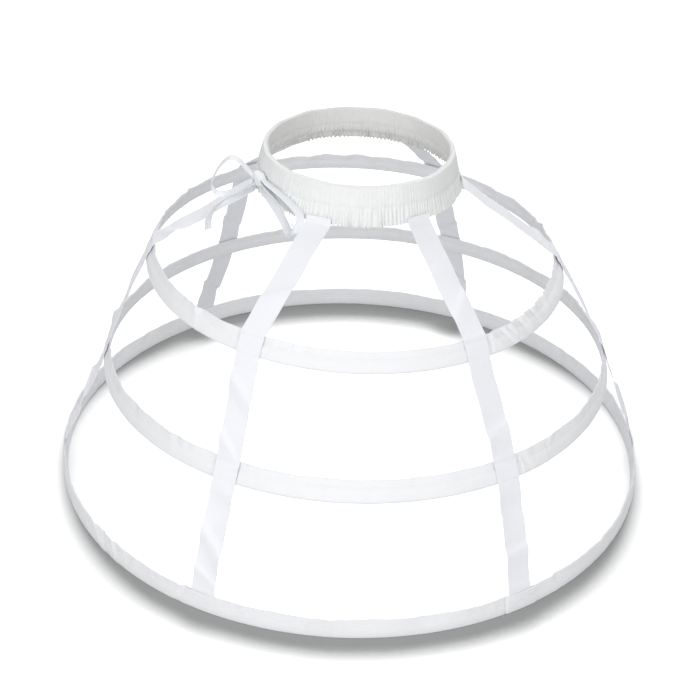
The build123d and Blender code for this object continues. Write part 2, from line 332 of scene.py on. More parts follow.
def run_lengths(places):
    """How far along their line each of these places lies."""
    return np.concatenate([[0], np.cumsum(np.linalg.norm(np.diff(places, axis=0), axis=1))])


def grid_object(name, points, along, across, closed_along, closed_across, smooth=50.0):
    """A surface through a grid of points, with its real cloth lengths as its UV map."""
    rows, columns = points.shape[:2]
    row_cells = rows if closed_along else rows - 1
    column_cells = columns if closed_across else columns - 1
    i, j = np.meshgrid(np.arange(row_cells), np.arange(column_cells), indexing="ij")
    i, j = i.ravel(), j.ravel()
    next_i, next_j = (i + 1) % rows, (j + 1) % columns
    faces = np.stack(
        [i * columns + j, next_i * columns + j, next_i * columns + next_j, i * columns + next_j],
        axis=-1,
    )
    mesh = bpy.data.meshes.new(name)
    mesh.from_pydata(points.reshape(-1, 3).tolist(), [], faces.tolist())
    cloth = mesh.uv_layers.new(name="cloth")
    u = np.stack([along[i], along[i + 1], along[i + 1], along[i]], axis=-1)
    v = np.stack([across[j], across[j], across[j + 1], across[j + 1]], axis=-1)
    cloth.data.foreach_set("uv", np.stack([u, v], axis=-1).ravel())
    mesh.shade_smooth()
    mesh.set_sharp_from_angle(angle=radians(smooth))
    piece = bpy.data.objects.new(name, mesh)
    bpy.context.scene.collection.objects.link(piece)
    return piece


def angle_from(angles, centre):
    """Signed angle from the centre, round the ring, in degrees."""
    return (np.degrees(angles) - centre + 180.0) % 360.0 - 180.0


def distance_from(angles, centre, radius):
    """Signed distance round the ring, in metres."""
    return angle_from(angles, centre) * pi / 180 * radius


def soft_noise(angles, seed, lowest, highest, count):
    """A sum of whole waves round a ring, the same on every run, about 1 high."""
    source = np.random.default_rng(seed)
    waves = np.zeros_like(angles)
    for _ in range(count):
        turns = source.integers(lowest, highest)
        waves += np.sin(turns * angles + source.uniform(0, 2 * pi))
    return waves / sqrt(count / 2)


def on_slope(hoop, angle, out, height):
    """Where a place on an upright ribbon lies once the ribbon has turned round its bone."""
    at_side, at_front = hoop_slopes[hoop]
    bunched = np.exp(-((angle_from(angle, bunched_place) / bunched_reach) ** 2))
    slope = at_side + (at_front - at_side) * np.sin(angle) ** 2 + bunched_lean[hoop] * bunched
    slope = np.radians(slope)
    above = (height + half_ribbon) * hoop_heights[hoop] - half_ribbon - bone_level
    leaning_out = out * np.cos(slope) - above * np.sin(slope)
    leaning_height = bone_level + above * np.cos(slope) + out * np.sin(slope)
    return leaning_out, leaning_height


def casing_profile():
    """The folded ribbon's section from its outer lip, round the fold, to its inner lip.

    The heights of a side are in millimetres.
    """
    lip = half_gap + ribbon_cloth
    side = [
        (lip, 11.0), (lip, 9.6), (lip, 7.6), (lip, 5.6), (lip - 0.0001, 3.6),
        (0.45 * lip + 0.55 * hoop_bulge, 1.6), (0.1 * lip + 0.9 * hoop_bulge, -0.4),
        (hoop_bulge, -2.4), (hoop_bulge, -5.0), (hoop_bulge, -7.4),
        (0.93 * hoop_bulge, -9.2), (0.72 * hoop_bulge, -10.3), (0.38 * hoop_bulge, -10.9),
    ]
    side = [(out, height / 1000) for out, height in side]
    back = [(-out, height) for out, height in reversed(side)]
    slit = [(-half_gap, half_ribbon), (-half_gap, slit_floor), (half_gap, slit_floor),
            (half_gap, half_ribbon)]
    return side + [(0.0, -half_ribbon)] + back + slit


# The profile's two places where the seam above the bone goes through the ribbon
seam_column, inner_seam_column = 4, 22
hoop_frames, hoop_casings, casing_seams = {}, {}, {}
for hoop, (radius, level, shift, lean, tip) in hoop_rings.items():
    ring = hoop_frames[hoop] = ring_frame(shift, level, lean, tip)
    angles = np.linspace(-pi, pi, hoop_steps, endpoint=False)
    profile = np.array(casing_profile())
    outer_layer = profile[:, 0] > half_gap + 0.5 * ribbon_cloth
    inner_layer = profile[:, 0] < -half_gap - 0.5 * ribbon_cloth
    lip = half_gap + ribbon_cloth
    below_top = np.clip((half_ribbon - profile[:, 1]) / (half_ribbon - casing_shoulder), 0, 1)
    straight = lip + (hoop_bulge - lip) * below_top
    above_bone = (profile[:, 1] > casing_shoulder) & (outer_layer | inner_layer)
    fullness = casing_fullness[hoop] * above_bone
    profile[:, 0] += fullness * (np.sign(profile[:, 0]) * straight - profile[:, 0])
    out = np.repeat(profile[None, :, 0], hoop_steps, axis=0)
    height = np.repeat(profile[None, :, 1], hoop_steps, axis=0)

    # The cloth hangs freest at its top edge, and is held by the bone below
    loose = np.clip((height - loose_from) / loose_run, 0, 1)
    crossing = np.ones(hoop_steps)
    for hoop_angle, _ in tape_angles.values():
        crossing *= 1 - np.exp(-(angle_from(angles, hoop_angle) * radius / crossing_spread) ** 4)
    seed = sorted(hoop_rings).index(hoop)
    sway = sway_depth * soft_noise(angles, 11 + seed, lowest=8, highest=40, count=9)
    ripple = ripple_depth * soft_noise(angles, 21 + seed, lowest=50, highest=150, count=12)
    out += ((sway + ripple) * crossing)[:, None] * loose
    edge = edge_play * soft_noise(angles, 31 + seed, lowest=10, highest=46, count=8)
    height += (edge * crossing)[:, None] * np.clip(height / half_ribbon, 0, 1) ** 2
    for centre, half_width, depth, slant in hoop_puckers[hoop]:
        turn = angle_from(angles, centre)[:, None] + slant * height / half_ribbon
        turn /= half_width
        fold = np.exp(-(turn**2)) - counter_share * np.exp(-((turn - counter_place) ** 2))
        freedom = pucker_below + (1 - pucker_below) * loose
        out += pucker_fullness[hoop] * depth * fold * freedom
        height -= pucker_sink * abs(depth) * fold * np.clip(height / half_ribbon, 0, 1)

    lap_turn = distance_from(angles, lap_angles[hoop], radius)
    lap = 1 / (1 + np.exp(np.minimum((np.abs(lap_turn) - lap_length / 2) / lap_edge, 60.0)))
    out += lap[:, None] * outer_layer[None, :] * lap_cloth
    step = np.exp(-(((lap_turn + lap_length / 2 + step_place) / step_half) ** 2))
    out -= step[:, None] * outer_layer[None, :] * lap_step[hoop]

    facing = np.sign(profile[:, 0])
    sleeve = np.exp(-((distance_from(angles, ferrule_angle, radius) / ferrule_half) ** 8))
    pocket = np.exp(-(((profile[:, 1] - bone_level) / pocket_half) ** 4))
    out += ferrule_bump * sleeve[:, None] * (facing * pocket)[None, :]
    if hoop == "hem":
        lips = np.clip((profile[:, 1] - lips_from) / lips_run, 0, 1)
        for hoop_angle, _ in tape_angles.values():
            from_tape = distance_from(angles, hoop_angle, radius)
            mouth = np.exp(-((from_tape / mouth_length) ** 6))
            out += hem_mouth * mouth[:, None] * (facing * lips)[None, :]

    out, height = on_slope(hoop, angles[:, None], out, height)
    points = ring_points(ring, angles[:, None], radius + out, height)
    along = np.linspace(0, 2 * pi * radius, hoop_steps + 1)
    across = run_lengths(closed(profile))
    casing = grid_object(f"{hoop}_hoop_ribbon", points, along, across, True, True)
    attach(casing, "root")
    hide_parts(f"{hoop}_hoop_casing")
    hoop_casings[hoop] = casing
    outer_seam, inner_seam = points[:, seam_column], points[:, inner_seam_column]
    outwards = closed(outer_seam - inner_seam)
    casing_seams[hoop] = [
        (closed(outer_seam), outwards, hoop_stitch_pitch),
        (closed(inner_seam), -outwards, hoop_stitch_pitch),
    ]


def group_node(tree, group, **values):
    node = tree.nodes.new("ShaderNodeGroup")
    node.node_tree = group
    for socket, value in values.items():
        node.inputs[socket.replace("_", " ")].default_value = value
    return node


def new_group(name, inputs, outputs):
    group = bpy.data.node_groups.new(name, "ShaderNodeTree")
    for socket, value in inputs:
        made = group.interface.new_socket(socket, in_out="INPUT", socket_type="NodeSocketFloat")
        made.default_value = value
    for socket in outputs:
        group.interface.new_socket(socket, in_out="OUTPUT", socket_type="NodeSocketFloat")
    return group, group.nodes.new("NodeGroupInput"), group.nodes.new("NodeGroupOutput")


def noise(tree, place, scale, detail, distortion=0.0):
    """Soft noise, whose scale is a number or another node's socket."""
    node = tree.nodes.new("ShaderNodeTexNoise")
    node.inputs["Detail"].default_value = detail
    node.inputs["Distortion"].default_value = distortion
    tree.links.new(place, node.inputs["Vector"])
    if isinstance(scale, float):
        node.inputs["Scale"].default_value = scale
    else:
        tree.links.new(scale, node.inputs["Scale"])
    return node.outputs["Fac"]


def bump(tree, height, depth, normal=None):
    node = tree.nodes.new("ShaderNodeBump")
    node.inputs["Strength"].default_value = 1.0
    node.inputs["Distance"].default_value = depth
    tree.links.new(height, node.inputs["Height"])
    if normal is not None:
        tree.links.new(normal, node.inputs["Normal"])
    return node.outputs["Normal"]


# Plain weave: warp and weft pass over each other, from the cloth's own lengths in metres
weave_group, weave_in, weave_out = new_group(
    "plain_weave",
    [("Warp per metre", 2600.0), ("Weft per metre", 2200.0), ("Slub", 0.3)],
    ["Height", "Thread"],
)
cloth_lengths = weave_group.nodes.new("ShaderNodeTexCoord").outputs["UV"]
split = weave_group.nodes.new("ShaderNodeSeparateXYZ")
weave_group.links.new(cloth_lengths, split.inputs[0])
uneven_thread = noise(weave_group, cloth_lengths, 320.0, 2.0)
slub = maths(weave_group, "MULTIPLY", uneven_thread, weave_in.outputs["Slub"])
threads = []
for side, count in (("Y", "Warp per metre"), ("X", "Weft per metre")):
    turns = maths(weave_group, "MULTIPLY", split.outputs[side], weave_in.outputs[count])
    threads.append(maths(weave_group, "SINE", maths(weave_group, "MULTIPLY", turns, pi)))
crossed = maths(weave_group, "MULTIPLY", *threads)
raised = maths(weave_group, "MULTIPLY_ADD", crossed, 0.5, 0.5)
weave_group.links.new(maths(weave_group, "ADD", raised, slub), weave_out.inputs["Height"])
weave_group.links.new(raised, weave_out.inputs["Thread"])

# Handled cloth: broad, faint unevenness of colour and many small soft creases
handled_group, handled_in, handled_out = new_group(
    "handled_cloth",
    [("Patch size", 30.0), ("Crease size", 90.0)],
    ["Patches", "Creases"],
)
place = handled_group.nodes.new("ShaderNodeTexCoord").outputs["Object"]
patches = noise(handled_group, place, handled_in.outputs["Patch size"], 3.0)
creases = noise(handled_group, place, handled_in.outputs["Crease size"], 2.0, distortion=1.2)
ridge = maths(handled_group, "ABSOLUTE", maths(handled_group, "SUBTRACT", creases, 0.5))
handled_group.links.new(patches, handled_out.inputs["Patches"])
valleys = maths(handled_group, "MULTIPLY", ridge, 2.0)
handled_group.links.new(valleys, handled_out.inputs["Creases"])


# All the cloths: how much the patches darken them, how much painted shade darkens the grooves
# between threads, how much the patches roughen them, and their low sheen
patch_share, painted_gap_shade_share, roughness_play = 0.55, 0.35, 0.12
cloth_shine, cloth_sheen, sheen_roughness = 0.25, 0.12, 0.5


def cloth_material(name, light, dark, warp, weft, weave_depth, crease_depth, crease_size, rough):
    """White cloth with its threads, painted shade between them, soft creases and faint patches."""
    material, tree, shader = new_material(name)
    weave = group_node(tree, weave_group, Warp_per_metre=warp, Weft_per_metre=weft)
    handled = group_node(tree, handled_group, Crease_size=crease_size)
    patches = handled.outputs["Patches"]
    shade = maths(tree, "MULTIPLY", patches, patch_share)
    # Painted shade: the grooves between the threads are darkened in the colour
    between_threads = maths(tree, "SUBTRACT", 1.0, weave.outputs["Thread"])
    painted_gap_shade = maths(tree, "MULTIPLY", between_threads, painted_gap_shade_share)
    tint = mixed_colour(tree, maths(tree, "ADD", shade, painted_gap_shade), light, dark)
    tree.links.new(tint, shader.inputs["Base Color"])
    roughness = maths(tree, "MULTIPLY_ADD", patches, roughness_play, rough)
    tree.links.new(roughness, shader.inputs["Roughness"])
    shader.inputs["Specular IOR Level"].default_value = cloth_shine
    shader.inputs["Sheen Weight"].default_value = cloth_sheen
    shader.inputs["Sheen Roughness"].default_value = sheen_roughness
    creased = bump(tree, handled.outputs["Creases"], crease_depth)
    woven = bump(tree, weave.outputs["Height"], weave_depth, normal=creased)
    tree.links.new(woven, shader.inputs["Normal"])
    return material


hoop_cloth = cloth_material(
    "white_hoop_ribbon", light=(0.875, 0.882, 0.893, 1), dark=(0.808, 0.818, 0.832, 1),
    warp=1500.0, weft=1250.0, weave_depth=0.00006,
    crease_depth=0.0004, crease_size=80.0, rough=0.62,
)
for casing in hoop_casings.values():
    casing.data.materials.append(hoop_cloth)


# Casing seams: rows of small straight stitches in white cotton thread, one on each face of every
# casing. Each stitch stands a little proud of the cloth and is drawn down into it at both ends.
thread_cotton = cloth_material(
    "white_sewing_thread", light=(0.88, 0.885, 0.89, 1), dark=(0.78, 0.785, 0.795, 1),
    warp=2600.0, weft=2600.0, weave_depth=0.00005,
    crease_depth=0.0001, crease_size=900.0, rough=0.6,
)
stitch_sides = 5


def unit(vectors):
    return vectors / np.linalg.norm(vectors, axis=-1, keepdims=True)


def squared_to(ahead, ways):
    """Unit directions, square to the line on which they stand."""
    return unit(ways - (ways * ahead).sum(axis=1, keepdims=True) * ahead)


def read_along(runs, values, where):
    """Values that are given at some distances along a line, read off at others."""
    return np.stack([np.interp(where, runs, values[:, axis]) for axis in range(3)], axis=-1)


def sewn_rows(name, rows, stitch=0.0024, thread=0.00028):
    """Rows of stitches; a row is its places on the cloth, the way out of it, and the pitch."""
    spans = np.array([-1.0, -0.7, 0.7, 1.0])
    girths = np.array([0.15, 0.9, 0.9, 0.15]) * thread
    rises = np.array([-0.5, 0.6, 0.6, -0.5]) * thread
    turn = np.linspace(0, 2 * pi, stitch_sides, endpoint=False)
    stitches = []
    for places, outwards, pitch in rows:
        runs = run_lengths(places)
        centres = np.arange(pitch / 2, runs[-1], pitch)
        middle = read_along(runs, places, centres)
        ahead = unit(read_along(runs, np.gradient(places, runs, axis=0), centres))
        up = squared_to(ahead, read_along(runs, outwards, centres))
        aside = np.cross(ahead, up)
        line = middle[:, None] + ahead[:, None] * (spans * stitch / 2)[:, None]
        line += up[:, None] * rises[:, None]
        around = up[:, None] * np.cos(turn)[:, None] + aside[:, None] * np.sin(turn)[:, None]
        stitches.append(line[:, :, None] + around[:, None] * girths[:, None, None])
    stitches = np.concatenate(stitches)
    i, j = np.meshgrid(np.arange(len(spans) - 1), np.arange(stitch_sides), indexing="ij")
    i, j, next_j = i.ravel() * stitch_sides, j.ravel(), (j.ravel() + 1) % stitch_sides
    below, above = i, i + stitch_sides
    wall = np.stack([below + j, below + next_j, above + next_j, above + j], axis=-1)
    first = np.arange(len(stitches)) * len(spans) * stitch_sides
    start = np.arange(stitch_sides)[::-1]
    end = (len(spans) - 1) * stitch_sides + np.arange(stitch_sides)
    caps = np.stack([start, end])
    faces = (first[:, None, None] + wall).reshape(-1, 4).tolist()
    faces += (first[:, None, None] + caps).reshape(-1, stitch_sides).tolist()
    mesh = bpy.data.meshes.new(name)
    mesh.from_pydata(stitches.reshape(-1, 3).tolist(), [], faces)
    mesh.shade_smooth()
    mesh.materials.append(thread_cotton)
    piece = bpy.data.objects.new(name, mesh)
    bpy.context.scene.collection.objects.link(piece)
    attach(piece, "root")


for hoop in hoop_rings:
    sewn_rows(f"{hoop}_hoop_seam", casing_seams[hoop])


# Bones and ferrules: flat spring steel with a white coat, whose ends meet in a crimped bright
# sleeve. They lie in the casings' pockets and are not seen.
mark_roughness, mark_shade = 0.2, 0.85


def hard_material(name, colour, metal, rough, scratch_size):
    """A hard coat or bare metal, unevenly worn by fine marks."""
    material, tree, shader = new_material(name)
    place = tree.nodes.new("ShaderNodeTexCoord").outputs["Object"]
    marks = noise(tree, place, scratch_size, 4.0)
    roughness = maths(tree, "MULTIPLY_ADD", marks, mark_roughness, rough)
    tree.links.new(roughness, shader.inputs["Roughness"])
    darker = tuple(mark_shade * part for part in colour)
    tone = mixed_colour(tree, marks, (*colour, 1), (*darker, 1))
    tree.links.new(tone, shader.inputs["Base Color"])
    shader.inputs["Metallic"].default_value = metal
    return material


def dress_node(node, material):
    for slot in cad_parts[node].material_slots:
        slot.material = material


bone_coat = hard_material("white_coated_bone", (0.85, 0.85, 0.84), 0.0, 0.4, 400.0)
ferrule_steel = hard_material("crimped_steel", (0.62, 0.62, 0.64), 1.0, 0.28, 900.0)
for hoop in hoop_rings:
    dress_node(f"{hoop}_hoop_bone", bone_coat)
    dress_node(f"{hoop}_hoop_ferrule", ferrule_steel)


# Tapes: six lengths of the same flat ribbon. Each is sewn over the frill, runs down over the
# top and middle hoops, to which it is stitched, and is tucked into the hem's casing.
tape_thickness, tape_width = 0.0006, 0.0244
half_tape = tape_width / 2
tape_clearance = 0.0005
tape_rows, tape_columns = 420, 18
tape_cloth = cloth_material(
    "white_tape_ribbon", light=(0.88, 0.889, 0.916, 1), dark=(0.812, 0.826, 0.858, 1),
    warp=1500.0, weft=1250.0, weave_depth=0.00006,
    crease_depth=0.00035, crease_size=70.0, rough=0.58,
)

# The waistband, on whose frill the tapes start: its frame, its circles and its heights
waist_ring = ring_frame(-0.0015, 0.3315, 0.8, 1.2)
seam_radius, frill_radius, rim_radius = 0.0984, 0.1005, 0.0925
rim_height, frill_drop = 0.0265, 0.0102

# The tape's route: out from the band's seam and up from it, over the frill's crests, then for
# each hoop out from its lip and up from its middle, down over its bulge, and into the hem,
# where the two front tapes drift sideways by these degrees
route_at_seam = [(0.0022, -0.0042), (0.0027, -0.0062)]
frill_crest = 0.0009
route_at_lip = [(0.0008, half_ribbon), (0.0002, 0.0088)]
route_at_bulge = [-0.001, -0.0072, -half_ribbon]
route_into_hem = [(-0.0002, half_ribbon + 0.0015), (0.0, 0.004)]
hem_drift = {"front_left": 0.7, "front_right": -0.6}
cage_middle = (0.0, 0.0, 0.2)
corner_rows = 9

# Between its seams a tape is slack, cupped and folded; near them it is held flat and puckered
held_reach, held_flatness = 0.012, 0.8
slack_seed, slack_depth, slack_periods = 51, 0.00035, (0.11, 0.07, 0.045)
cup_depth, cup_turns = 0.0006, 7
seam_pucker, seam_pucker_pitch = 0.00012, 0.009
end_taper, end_least = 0.0009, 0.03

# A soft fold rises steeply on its upper side and falls away gently on its lower one
crease_fullness = 2.3
crease_steep, crease_gentle = 0.42, 1.3

# name: place along the tape from 0 at the waist to 1 at the hem, half width, depth, slant
tape_creases = {
    "front_left": [
        (0.47, 0.010, 0.0011, -0.9), (0.62, 0.012, 0.0012, -1.1), (0.71, 0.009, 0.0009, -0.5),
        (0.85, 0.012, 0.0015, -1.0), (0.94, 0.009, 0.0009, -0.6), (0.22, 0.012, 0.0006, 0.8),
    ],
    "front_right": [
        (0.57, 0.011, 0.0010, 0.25), (0.70, 0.010, 0.0008, 0.2), (0.79, 0.010, 0.0007, -0.2),
        (0.88, 0.012, 0.0013, 0.15), (0.25, 0.012, 0.0006, 1.0),
    ],
    "side_right": [
        (0.30, 0.010, 0.0010, 1.0), (0.60, 0.010, -0.0011, 1.0), (0.86, 0.010, 0.0015, 1.1),
    ],
    "back_right": [
        (0.35, 0.010, 0.0009, 1.0), (0.62, 0.010, 0.0011, -1.0), (0.84, 0.010, 0.0010, 1.0),
    ],
    "back_left": [
        (0.32, 0.010, 0.0010, -1.0), (0.58, 0.010, 0.0010, 1.0), (0.88, 0.009, 0.0012, 1.0),
    ],
    "side_left": [
        (0.28, 0.010, 0.0010, 1.2), (0.55, 0.010, 0.0012, 1.1), (0.80, 0.010, 0.0012, -1.0),
    ],
}

# Rows of stitches, down from the tape's start and inside the edges of the two upper hoops,
# which the tape reaches and leaves at these stations of its route
frill_stitch_rows = (0.0014, 0.0044)
below_upper_edge, above_lower_edge = 0.0018, 0.0014
hoop_stations = ((3, 7), (8, 12))
tape_stitch_pitch, tape_stitch = 0.0026, 0.0018


def tape_stations(tape, waist_angle, hoop_angle):
    """Places down the tape's middle: ring, direction, reach and height of each."""
    over = tape_thickness / 2 + tape_clearance
    lip = half_gap + ribbon_cloth + over
    stations = [
        (waist_ring, waist_angle, seam_radius + out, height) for out, height in route_at_seam
    ]
    stations.append((waist_ring, waist_angle, frill_radius + frill_crest + over, -frill_drop))
    over_hoop = [(lip + out, height) for out, height in route_at_lip]
    over_hoop += [(hoop_bulge + over, height) for height in route_at_bulge]
    for hoop in ("top", "middle"):
        for out, height in over_hoop:
            out, height = on_slope(hoop, radians(hoop_angle), out, height)
            stations.append((hoop_frames[hoop], hoop_angle, hoop_rings[hoop][0] + out, height))
    hem_angle = hoop_angle + hem_drift.get(tape, 0.0)
    hem_radius = hoop_rings["hem"][0]
    return stations + [
        (hoop_frames["hem"], hem_angle, hem_radius + out, height)
        for out, height in route_into_hem
    ]


def ribbon_object(name, sheet, face, lift, half_thick, runs, width):
    """A thin ribbon with a face and a back, laid on a sheet of places; and its face's places."""
    outer = sheet + face[:, None] * (lift + half_thick)[:, :, None]
    inner = sheet + face[:, None] * (lift - half_thick)[:, :, None]
    points = np.concatenate([outer, inner[:, ::-1]], axis=1)
    flat_across = np.linspace(0, width, sheet.shape[1])
    cloth_across = np.concatenate([flat_across, width + flat_across, [2 * width]])
    return grid_object(name, points, runs, cloth_across, False, True), outer


tape_stitches = []
for tape, (hoop_angle, waist_angle) in tape_angles.items():
    middle, side = [], []
    for ring, angle, reach, height in tape_stations(tape, waist_angle, hoop_angle):
        middle.append(ring_points(ring, radians(angle), reach, height))
        side.append(ring.to_3x3() @ Vector((-sin(radians(angle)), cos(radians(angle)), 0)))
    middle, side = np.array(middle), np.array(side)
    runs = run_lengths(middle)
    length = runs[-1]
    where = np.linspace(0, length, tape_rows)
    line, width = read_along(runs, middle, where), read_along(runs, side, where)

    # Soften the corners at the hoops over a few millimetres
    kernel = np.hanning(corner_rows)
    kernel /= kernel.sum()
    for axis in range(3):
        padded = np.pad(line[:, axis], corner_rows // 2, mode="reflect", reflect_type="odd")
        line[:, axis] = np.convolve(padded, kernel, mode="valid")
    ahead = unit(np.gradient(line, axis=0))
    width = squared_to(ahead, width)
    outward = np.cross(width, ahead)
    outward *= np.sign((outward * (line - cage_middle)).sum(axis=1))[:, None]

    share = where / length
    held = np.exp(-(((where[:, None] - runs) / held_reach) ** 2)).max(axis=1)
    seed = sorted(tape_angles).index(tape)
    source = np.random.default_rng(slack_seed + seed)
    slack = sum(
        np.sin(2 * pi * where / period + source.uniform(0, 6)) for period in slack_periods
    )
    line += outward * (slack_depth * slack * (1 - held))[:, None]

    across = np.linspace(-1, 1, tape_columns)
    lift = np.zeros((tape_rows, tape_columns))
    for centre, half_width, depth, slant in tape_creases[tape]:
        turn = (share[:, None] - centre) * length + slant * across * half_tape
        spread = np.where(turn < 0, crease_steep, crease_gentle) * half_width
        fold = np.exp(-((turn / spread) ** 2)) * (1 - held_flatness * held)[:, None]
        lift += crease_fullness * depth * fold
    cup = cup_depth * across**2 * np.sin(cup_turns * share + seed)[:, None]
    lift += cup * (1 - held)[:, None]
    lift += (seam_pucker * np.sin(2 * pi * where / seam_pucker_pitch) * held)[:, None]

    sheet = line[:, None] + width[:, None] * across[None, :, None] * half_tape
    from_end = np.minimum(where, length - where)
    half_thick = tape_thickness / 2 * np.clip(from_end / end_taper, end_least, 1)[:, None]
    ribbon, face = ribbon_object(
        f"{tape}_tape_ribbon", sheet, outward, lift, half_thick, where, tape_width
    )
    ribbon.data.materials.append(tape_cloth)
    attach(ribbon, "root")
    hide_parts(f"tape_{tape}")

    sewn_at = list(frill_stitch_rows)
    for reached, left in hoop_stations:
        sewn_at += [runs[reached] + below_upper_edge, runs[left] - above_lower_edge]
    for down in sewn_at:
        row = int(np.argmin(np.abs(where - down)))
        away = np.repeat(outward[row][None], tape_columns - 2, axis=0)
        tape_stitches.append((face[row, 1:-1], away, tape_stitch_pitch))
sewn_rows("tape_stitches", tape_stitches, stitch=tape_stitch)


# Waistband: a strip of off-white cotton gathered on elastic, folded over at the rim, stitched
# along its channel, and left free below it as a short frill. Its inside is given a duller,
# darker copy of the cotton as painted shade.
rib_count = 172
band_steps = rib_count * 9
band_wall, frill_wall = 0.0053, 0.0007
band_slope = (seam_radius - rim_radius) / rim_height
channel_seam = 0.0079
gather_fullness = 1.9
seam_pull, inner_seam_pull, seam_pull_reach = 0.00065, 0.0006, 0.0012
wall_bow = 0.0004
wall_wander, height_wander = 0.00012, 0.0003

# The rim's fold: its steps, its roundness, how it lies to the wall, and its gathers
rim_steps, rim_round, rim_gathers = 6, 0.0011, 0.0003
rim_out, rim_down = 0.0007, 0.0006
rim_half_width = band_wall / 2 - 0.0003
# The painted shade on the inside starts this many steps past the outside
painted_shade_from = 2

# The gathers: how they drift sideways, how uneven they are, how sharp their crests are, how
# much shallower they are inside, and how much they rock the frill's free edge
slow_drift, quick_drift, drift_turn = 0.9, 0.35, 2.2
crest_size, crest_play, crest_power = 0.75, 0.25, 0.8
inner_gathers = 0.9
edge_gathers, edge_below = 0.0011, -0.0074

# Up the outside: height above the lower seam, and the depth of the gathers there
outside_rows = [
    (-frill_drop, 0.00120), (-0.0074, 0.00112), (-0.0056, 0.00102), (-0.0038, 0.00092),
    (-0.0020, 0.00082), (0.0, 0.00074), (0.0020, 0.00066), (0.0040, 0.00056),
    (0.0056, 0.00044), (0.0068, 0.00030), (0.0076, 0.00021), (0.0084, 0.00018),
    (0.0096, 0.00018), (0.0116, 0.00018), (0.0140, 0.00017), (0.0168, 0.00015),
    (0.0196, 0.00014), (0.0220, 0.00013), (0.0238, 0.00012), (0.0251, 0.00012),
    (0.0259, 0.00012),
]


def gathers(angles, height_share, seed):
    """Crests of the gathers, about 1 high and -1 deep, uneven and drifting as they go down."""
    drift = slow_drift * soft_noise(angles, seed, lowest=3, highest=17, count=6)
    quick = soft_noise(angles, seed + 1, lowest=20, highest=60, count=6)
    drift += quick_drift * height_share * quick
    crest = np.sin(rib_count * angles + drift_turn * drift)
    play = soft_noise(angles, seed + 2, lowest=12, highest=70, count=8)
    return np.sign(crest) * np.abs(crest) ** crest_power * (crest_size + crest_play * play)


def wall_reach(height):
    """How far out the band's outer face lies, at a height above its lower seam."""
    if height < 0:
        return seam_radius + (frill_radius - seam_radius) * (-height / frill_drop)
    return seam_radius - band_slope * height


def near_channel(height):
    return np.exp(-(((height - channel_seam) / seam_pull_reach) ** 2))


# The band's section, up the outside, over the rim and down the inside: reach, height, depth of
# the gathers, and 1 where it faces out or -1 where it faces in
section = []
for height, depth in outside_rows:
    bow = wall_bow * sin(pi * max(height, 0) / rim_height)
    section.append((wall_reach(height) - seam_pull * near_channel(height) + bow, height, depth, 1))
for step in range(1, rim_steps):
    turn = pi * step / rim_steps
    reach = rim_radius - rim_round + rim_out + rim_half_width * (cos(turn) - 1)
    section.append((reach, rim_height - rim_down + rim_round * sin(turn), rim_gathers, cos(turn)))
for height, depth in reversed(outside_rows):
    if height < 0:
        section.append((wall_reach(height) - frill_wall, height, depth, 1))
    else:
        reach = wall_reach(height) - band_wall + inner_seam_pull * near_channel(height)
        section.append((reach, height, depth, -1))

angles = np.linspace(-pi, pi, band_steps, endpoint=False)
band_points = np.zeros((band_steps, len(section), 3))
lower_edge = edge_gathers * gathers(angles, 1.0, 83)
wander = wall_wander * soft_noise(angles, 91, lowest=5, highest=30, count=8)
rise = height_wander * soft_noise(angles, 95, lowest=4, highest=26, count=8)
for column, (reach, height, depth, face) in enumerate(section):
    crest = gathers(angles, (rim_height - height) / rim_height, 71)
    reach_here = reach + wander + depth * crest * (1 if face > -0.5 else inner_gathers)
    height_here = height + rise * (height / rim_height)
    if height <= edge_below:
        height_here += lower_edge
    band_points[:, column] = ring_points(waist_ring, angles, reach_here, height_here)
along = np.linspace(0, 2 * pi * seam_radius * gather_fullness, band_steps + 1)
across = run_lengths(closed(np.array([(reach, height) for reach, height, _, _ in section])))
waistband = grid_object(
    "gathered_waistband", band_points, along, across, True, True, smooth=70.0
)
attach(waistband, "root")
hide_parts("waistband_casing")

band_cloth = cloth_material(
    "off_white_gathered_cotton", light=(0.875, 0.887, 0.879, 1), dark=(0.785, 0.797, 0.778, 1),
    warp=2200.0, weft=2000.0, weave_depth=0.00004,
    crease_depth=0.0004, crease_size=260.0, rough=0.75,
)
band_inside_painted_shade = cloth_material(
    "cotton_inside_painted_shade", light=(0.78, 0.78, 0.762, 1), dark=(0.69, 0.69, 0.668, 1),
    warp=2200.0, weft=2000.0, weave_depth=0.00004,
    crease_depth=0.0004, crease_size=260.0, rough=0.8,
)
waistband.data.materials.append(band_cloth)
waistband.data.materials.append(band_inside_painted_shade)
# Painted shade: the inside faces take the darker copy of the cotton
inside_face = (np.arange(len(section)) >= len(outside_rows) + painted_shade_from).astype(np.int32)
waistband.data.polygons.foreach_set("material_index", np.tile(inside_face, band_steps))

# One row of stitches outside and one inside, on the channel's seam
band_stitch_pitch, band_stitch = 0.0027, 0.0019
thread_out, thread_in, way_out = 0.0001, 0.0002, 0.01
seam_angles = np.linspace(-pi, pi, 721)
seam_reach = wall_reach(channel_seam)
band_seams = []
for reach, face in ((seam_reach + thread_out, 1), (seam_reach - band_wall + thread_in, -1)):
    seam_line = ring_points(waist_ring, seam_angles, reach, channel_seam)
    away = ring_points(waist_ring, seam_angles, reach + face * way_out, channel_seam)
    band_seams.append((seam_line, away - seam_line, band_stitch_pitch))
sewn_rows("waistband_seam", band_seams, stitch=band_stitch)


# Elastic: a flat knitted band, sewn into a ring and threaded through the waistband's channel.
# It draws the cotton into its gathers, and is hidden by it.
elastic_cloth = cloth_material(
    "knitted_elastic", light=(0.82, 0.82, 0.80, 1), dark=(0.70, 0.70, 0.68, 1),
    warp=900.0, weft=1400.0, weave_depth=0.00012,
    crease_depth=0.0002, crease_size=200.0, rough=0.8,
)
dress_node("waist_elastic", elastic_cloth)


